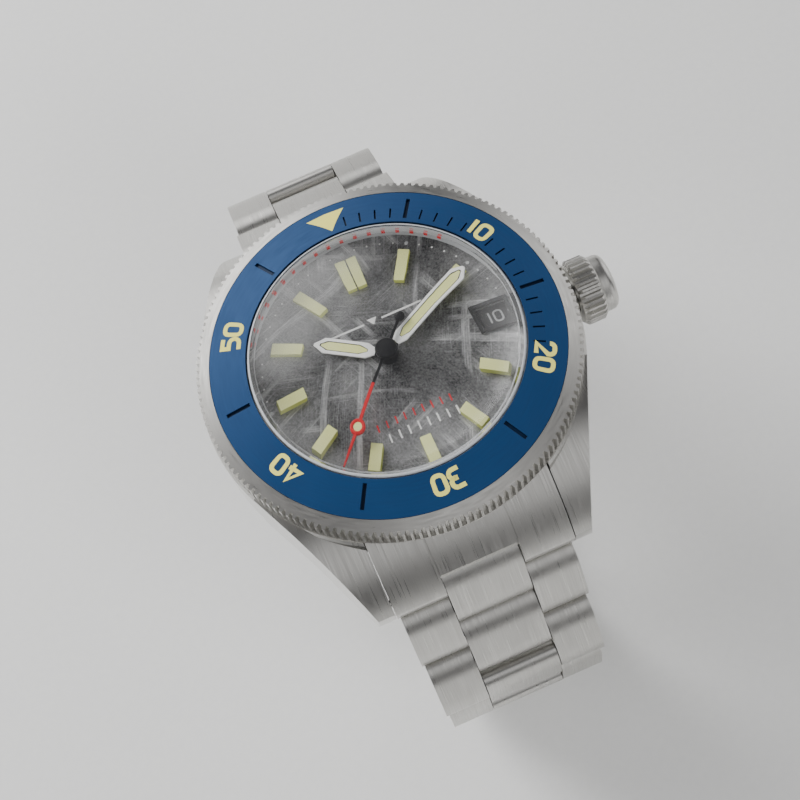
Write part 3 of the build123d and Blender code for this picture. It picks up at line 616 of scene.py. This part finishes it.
def glyphs():
    """Centre lines of the digits, 1.3 wide and 2 high about the middle, as (points, closed)."""
    wide, tall, soft = 0.65, 1.0, 0.5
    right, top = wide - soft, tall - soft
    upper = bend((right, top), soft, 0) + bend((-right, top), soft, 1)
    lower = bend((-right, -top), soft, 2) + bend((right, -top), soft, 3)
    bowl = bend((right, 0.47), 0.53, 3)
    digits = {
        "0": [(upper + lower, True)],
        "1": [([(0, -tall), (0, tall)], False)],
        "2": [([(-wide, 0.45), *reversed(upper), (wide, 0.3), (-wide, -tall), (wide, -tall)], False)],
        "3": [([(-wide, tall), (right, tall), *reversed(bend((right, 0.5), 0.5, 0)),
                *reversed(bowl[:-1]), (-0.2, 0.0)], False),
              ([(-0.2, 0.0), (right, 0.0), *reversed(bend((right, -0.5), 0.5, 0)),
                *reversed(bend((right, -0.5), 0.5, 3)), (-wide, -tall)], False)],
        "4": [([(0.35, -tall), (0.35, tall), (-0.75, -0.4), (0.8, -0.4)], False)],
        "5": [([(wide, tall), (-0.5, tall), (-0.5, 0.2), (right, 0.2),
                *reversed(bend((right, -0.4), 0.6, 0)), *reversed(bend((right, -0.4), 0.6, 3)),
                (-wide, -tall)], False)],
    }
    digits["6"] = [(bend((0.0, -0.38), 0.62, 0) + bend((0.0, -0.38), 0.62, 1)
                    + bend((0.0, -0.38), 0.62, 2) + bend((0.0, -0.38), 0.62, 3), True),
                   ([(-0.62, -0.38), (-0.45, 0.4), (0.35, tall)], False)]
    digits["7"] = [([(-wide, tall), (wide, tall), (-0.2, -tall)], False)]
    digits["8"] = [([(x * 0.9, y * 0.47 + 0.53) for x, y in upper + lower], True),
                   ([(x, y * 0.5 - 0.5) for x, y in upper + lower], True)]
    digits["9"] = [([(-x, -y) for x, y in points], closed) for points, closed in digits["6"]]
    return digits


GLYPHS = glyphs()


def stroke(shape, line, closed, width, z):
    """A flat ribbon of even width along a line in plan."""
    count = len(line)
    sides = []
    for i, point in enumerate(line):
        before = Vector(line[i - 1] if closed or i else line[0])
        after = Vector(line[(i + 1) % count] if closed or i < count - 1 else line[-1])
        here = Vector(point)
        first = (here - before).normalized() if (here - before).length > 1e-9 else None
        second = (after - here).normalized() if (after - here).length > 1e-9 else None
        first = first or second
        second = second or first
        normal = Vector((-(first + second).y, (first + second).x)).normalized()
        reach = min(1.6, 1.0 / max(0.3, normal.dot(Vector((-second.y, second.x)))))
        across = normal * reach * width / 2
        sides.append((here + across, here - across))
    points = []
    for left, right in sides:
        points += [(left.x, left.y, z), (right.x, right.y, z)]
    faces = []
    for i in range(count if closed else count - 1):
        j = (i + 1) % count
        faces.append((2 * i, 2 * j, 2 * j + 1, 2 * i + 1))
    shape.take(points, faces)


def number(shape, text, centre, scale, width, gap, z=0.0):
    """A number's strokes round a centre in plan; scale multiplies the glyph's 1.3 by 2 box."""
    advance = [0.35 if digit == "1" else 1.3 for digit in text]
    length = sum(advance) * scale + gap * (len(text) - 1)
    x = centre[0] - length / 2
    for digit, wide in zip(text, advance):
        middle = x + wide * scale / 2
        for line, closed in GLYPHS[digit]:
            drawn = [(middle + px * scale, centre[1] + py * scale) for px, py in line]
            stroke(shape, drawn, closed, width, z)
        x += wide * scale + gap


# ---- bezel insert: numerals and triangle ------------------------------------------------------
NUMERAL_R = 17.85
PRINT_THICK = 0.02
NUMERAL_DEPTH = 0.08


def on_insert(angle):
    """Lays a point in plan, drawn about the numeral circle at 12 o'clock, on the insert's cone."""
    def lay(point):
        x, y, lift = point
        radius = NUMERAL_R + y
        turn = angle + math.degrees(x / NUMERAL_R)
        z = INSERT_EDGE_Z + (INSERT_R - radius) * INSERT_SLOPE + PRINT_THICK + lift
        return clock((0.0, radius, z), turn)
    return lay


def thicken(piece, depth):
    """Gives a flat piece a depth in millimetres."""
    solid = piece.modifiers.new("depth", "SOLIDIFY")
    solid.thickness = depth * MM
    solid.offset = -1.0


def bezel_numerals():
    """The minutes 10 to 50, filled with lume."""
    for text in ("10", "20", "30", "40", "50"):
        shape = Shape()
        number(shape, text, (0.0, 0.0), 1.0, 0.5, 0.62)
        made = shape.piece(f"bezel_numeral_{text}", "bezel", "lume", "bezel_lume",
                           lay=on_insert(6.0 * int(text)))
        thicken(made, NUMERAL_DEPTH)


def bezel_triangle():
    """The triangle at zero, in rows so that it follows the cone."""
    shape = Shape()
    rows = 8
    half, base, apex = 2.15, 1.45, -1.35
    points = []
    for row in range(rows + 1):
        share = row / rows
        y = base + (apex - base) * share
        reach = half * (1 - share) + 0.04
        points += [(-reach, y, 0.0), (0.0, y, 0.0), (reach, y, 0.0)]
    faces = []
    for row in range(rows):
        for side in range(2):
            i = 3 * row + side
            faces.append((i, i + 1, i + 4, i + 3))
    shape.take(points, faces)
    made = shape.piece("bezel_triangle", "bezel", "lume", "bezel_lume", lay=on_insert(0.0))
    thicken(made, NUMERAL_DEPTH)


bezel_numerals()
bezel_triangle()


# ---- dial print ---------------------------------------------------------------------------------
DOT_RING_R = 12.95
DAYS = 31
DAY_SHOWN = 10
PRINT_LOW = DIAL_TOP - 0.01
PRINT_HIGH = DIAL_TOP + 0.02


def dot(shape, place, radius, sides):
    shape.lathe([(0, PRINT_LOW), (radius, PRINT_LOW), (radius, PRINT_HIGH), (0, PRINT_HIGH)], place, sides)


def minute_dots():
    """A ring of printed dots, larger at every fifth minute."""
    small = Shape()
    large = Shape()
    for minute in range(60):
        x, y, _ = clock((0.0, DOT_RING_R, 0.0), 6.0 * minute)
        if minute % 5:
            dot(small, (x, y), 0.09, 16)
        else:
            dot(large, (x, y), 0.18, 20)
    small.piece("minute_dots", "case", "white_print", "white")
    large.piece("five_minute_dots", "case", "white_print", "grey_print")


def bar(shape, x, y, wide, tall):
    """A printed rectangle on the dial about a point."""
    shape.prism([(x - wide / 2, y - tall / 2), (x + wide / 2, y - tall / 2),
                 (x + wide / 2, y + tall / 2), (x - wide / 2, y + tall / 2)], PRINT_LOW, PRINT_HIGH)


def dial_print():
    """Plain bars where the dial carries small print: a pair above the centre and rows below it."""
    white = Shape()
    for side in (-1, 1):
        bar(white, 3.6 * side, 4.9, 5.0, 0.24)
    white.prism([(-0.6, 5.35), (0.0, 4.45), (0.6, 5.35)], PRINT_LOW, PRINT_HIGH)
    for i in range(8):
        bar(white, -3.2 + 1.05 * i, -7.9, 0.17, 0.85)
    white.piece("dial_print_bars", "case", "white_print", "white")
    red = Shape()
    for i in range(9):
        bar(red, -4.0 + i, -6.6, 0.15, 0.7)
    red.piece("dial_print_red", "case", "red_lacquer", "red")


def chapter_marks():
    """Red dashes round the upper part of the sloping chapter ring."""
    marks = Shape()
    slope = (CHAPTER_TOP - CHAPTER_Z) / (CHAPTER_TOP_R - CHAPTER_R)
    half, inner, outer = 0.2, 13.98, 14.34
    for i in range(21):
        corners = []
        for x, r in ((-half, inner), (half, inner), (half, outer), (-half, outer)):
            z = CHAPTER_Z + (r - CHAPTER_R) * slope + 0.03
            corners.append(clock((x, r, z), 6.0 * i - 76.0))
        marks.take(corners, [(0, 1, 2, 3)])
    made = marks.piece("chapter_marks", "case", "red_lacquer", "red")
    thicken(made, 0.03)


def date_numbers():
    """The days 1 to 31 round the date ring, read from outside in at 3 o'clock."""
    shape = Shape()
    for day in range(1, DAYS + 1):
        one = Shape()
        number(one, str(day), (0.0, 0.0), 0.58, 0.17, 0.32, DATE_TOP + 0.01)
        turn = 90.0 + (day - DAY_SHOWN) * 360.0 / DAYS
        placed = [clock((-y, WINDOW_R + x, z), turn) for x, y, z in one.points]
        shape.take(placed, one.faces)
    made = shape.piece("date_numbers", "date_ring", "white_print", "grey_print")
    thicken(made, 0.02)


minute_dots()
dial_print()
chapter_marks()
date_numbers()


# ---- crystal edge -----------------------------------------------------------------------------------
def crystal_edge():
    """The ground chamfer round the crystal, which catches the light as a thin bright line."""
    shape = Shape()
    shape.lathe([(15.47, 12.24), (15.75, 11.96), (15.79, 12.02), (15.50, 12.31)], sides=180)
    shape.piece("crystal_chamfer", "case", "crystal_glass", "crystal_edge", smooth=True)


crystal_edge()


# ---- hands ----------------------------------------------------------------------------------------------
def baton(length, width, point, start, neck):
    """A pointed hand in plan, from its neck beside the hub to its tip."""
    half = width / 2
    return [(-neck, start), (neck, start), (half, start + 1.0), (half, length - point),
            (0.14, length), (-0.14, length), (-half, length - point), (-half, start + 1.0)]


def framed_hand(name, node, body, angle, length, width, point, border, top):
    """A metal frame round a lume fill, with a dark line inside it, on a black hub."""
    low = top - HAND_THICK
    outer = baton(length, width, point, 1.45, 0.42)
    inner = baton(length - 1.5 * border, width - 2 * border, point - 0.5 * border, 2.35, 0.16)
    rim = Shape()
    rim.frame(outer, inner, low, top)
    made = rim.piece(f"{name}_frame", body, "white_print", "hand_metal", angle)
    round_edges(made, 0.03)
    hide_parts(node)
    fill = Shape()
    fill.prism([(1.04 * x, y) for x, y in inner], low + 0.03, top - 0.06)
    fill.piece(f"{name}_lume", body, "lume", "lume", angle)
    edge = Shape()
    edge.frame(inner, [(0.86 * x, y + (0.07 if y < 4 else -0.12)) for x, y in inner],
               top - 0.10, top - 0.045)
    edge.piece(f"{name}_lume_edge", body, "black_lacquer", "black", angle)
    tube = Shape()
    tube.prism([(-0.45, 0.6), (0.45, 0.6), (0.42, 1.6), (-0.42, 1.6)], low, top - 0.03)
    tube.lathe([(0.55, low - 0.9), (1.15, low - 0.9), (1.15, top - 0.02), (0.55, top - 0.02)])
    tube.piece(f"{name}_hub", body, "black_lacquer", "black", angle)


def second_hand():
    """A thin hand, black near the hub and red beyond, with a ring of lume and a round counterweight."""
    low = SECOND_TOP - 0.18
    high = SECOND_TOP
    black = Shape()
    black.prism([(-0.16, -4.0), (0.16, -4.0), (0.15, 4.3), (-0.15, 4.3)], low, high)
    black.lathe([(0, low), (0.45, low - 0.05), (0.62, low + 0.08), (0.60, high + 0.05), (0.35, high + 0.16),
                 (0, high + 0.2)], (0.0, COUNTERWEIGHT_Y), 40)
    black.lathe([(0, low), (1.3, low), (1.3, high + 0.25), (1.15, high + 0.42), (0.5, high + 0.46),
                 (0, high + 0.46)])
    made = black.piece("second_hand_black", "second_arbor", "black_lacquer", "black", SECOND_ANGLE)
    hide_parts("second_hand")
    red = Shape()
    ring_start = SECOND_RING_Y - 0.7
    ring_end = SECOND_RING_Y + 0.7
    red.prism([(-0.17, 4.3), (0.17, 4.3), (0.16, ring_start), (-0.16, ring_start)], low, high)
    red.prism([(-0.15, ring_end), (0.15, ring_end), (0.07, SECOND_LENGTH), (-0.07, SECOND_LENGTH)],
              low, high)
    red.lathe([(0.46, low), (0.80, low), (0.80, high + 0.02), (0.70, high + 0.08), (0.55, high + 0.08),
               (0.46, high + 0.02)], (0.0, SECOND_RING_Y), 48)
    red.piece("second_hand_red", "second_arbor", "red_lacquer", "red", SECOND_ANGLE)
    centre = Shape()
    centre.lathe([(0, low + 0.02), (0.48, low + 0.02), (0.48, high), (0, high + 0.03)],
                 (0.0, SECOND_RING_Y), 40)
    centre.piece("second_hand_lume", "second_arbor", "lume", "lume", SECOND_ANGLE)


framed_hand("hour_hand", "hour_hand", "hour_tube", HOUR_ANGLE, HOUR_LENGTH, 1.9, 1.0, 0.36, HOUR_TOP)
framed_hand("minute_hand", "minute_hand", "minute_arbor", MINUTE_ANGLE, MINUTE_LENGTH, 1.75, 0.95, 0.33,
            MINUTE_TOP)
second_hand()


# ---- floor, light and camera ------------------------------------------------------------------------------
def floor():
    """Paper for the watch to stand on, reaching 1.6 m each way."""
    size = 1.6
    mesh = bpy.data.meshes.new("floor")
    corners = [(-size, -size, FLOOR_Z * MM), (size, -size, FLOOR_Z * MM),
               (size, size, FLOOR_Z * MM), (-size, size, FLOOR_Z * MM)]
    mesh.from_pydata(corners, [], [(0, 1, 2, 3)])
    mesh.materials.append(floor_paper())
    made = bpy.data.objects.new("floor", mesh)
    bpy.context.scene.collection.objects.link(made)


def soft_light(name, place, power, size):
    """A square area light aimed at the dial, left out of reflections and of what the crystal shows."""
    data = bpy.data.lights.new(name, "AREA")
    data.energy = power
    data.size = size
    light = bpy.data.objects.new(name, data)
    bpy.context.scene.collection.objects.link(light)
    light.location = place
    light.visible_glossy = False
    light.visible_transmission = False
    way = Vector((0, 0, 0)) - Vector(place)
    light.rotation_euler = way.to_track_quat("-Z", "Y").to_euler()


# direction, half angle in degrees and brightness of each glow
SKY_GLOWS = (
    ((-0.34, 0.82, 0.46), 38.0, 2.6),
    ((0.90, 0.32, 0.28), 42.0, 1.3),
    ((0.10, -0.55, 0.83), 34.0, 0.75),
    ((0.55, -0.80, 0.15), 26.0, 1.0),
    ((-0.92, -0.10, 0.30), 38.0, 1.1),
)


def surroundings():
    """A soft sky: dark at the horizon, brighter overhead, with broad glows where softboxes would hang."""
    world = bpy.data.worlds.new("studio")
    bpy.context.scene.world = world
    world.use_nodes = True
    tree = world.node_tree
    way = tree.nodes.new("ShaderNodeTexCoord").outputs["Generated"]
    split = tree.nodes.new("ShaderNodeSeparateXYZ")
    tree.links.new(way, split.inputs[0])
    ramp = tree.nodes.new("ShaderNodeValToRGB")
    ramp.color_ramp.elements[0].position = 0.0
    ramp.color_ramp.elements[0].color = (0.03, 0.03, 0.033, 1)
    ramp.color_ramp.elements[1].position = 0.9
    ramp.color_ramp.elements[1].color = (0.085, 0.085, 0.09, 1)
    tree.links.new(split.outputs["Z"], ramp.inputs[0])
    total = ramp.outputs[0]
    for aim, wide, strength in SKY_GLOWS:
        dot = tree.nodes.new("ShaderNodeVectorMath")
        dot.operation = "DOT_PRODUCT"
        tree.links.new(way, dot.inputs[0])
        dot.inputs[1].default_value = Vector(aim).normalized()
        fade = tree.nodes.new("ShaderNodeMapRange")
        fade.interpolation_type = "SMOOTHERSTEP"
        fade.inputs["From Min"].default_value = math.cos(math.radians(wide))
        fade.inputs["To Max"].default_value = strength
        tree.links.new(dot.outputs["Value"], fade.inputs["Value"])
        add = tree.nodes.new("ShaderNodeVectorMath")
        add.operation = "ADD"
        tree.links.new(total, add.inputs[0])
        tree.links.new(fade.outputs[0], add.inputs[1])
        total = add.outputs[0]
    tree.links.new(total, tree.nodes["Background"].inputs["Color"])
    tree.nodes["Background"].inputs["Strength"].default_value = 1.0


def camera():
    """Looks down at the dial from the 6 o'clock side."""
    data = bpy.data.cameras.new("camera")
    data.lens = CAMERA_LENS
    data.sensor_width = 36.0
    data.clip_start = 0.01
    data.clip_end = 10.0
    made = bpy.data.objects.new("camera", data)
    bpy.context.scene.collection.objects.link(made)
    made.location = Vector(CAMERA_PLACE) * MM
    made.rotation_euler = [math.radians(angle) for angle in CAMERA_TURN]
    bpy.context.scene.camera = made


floor()
surroundings()
soft_light("key", (-0.24, 0.30, 0.24), 2.4, 0.22)
soft_light("fill", (0.16, -0.40, 0.20), 1.2, 0.26)
soft_light("side", (-0.40, -0.05, 0.16), 0.6, 0.20)
camera()
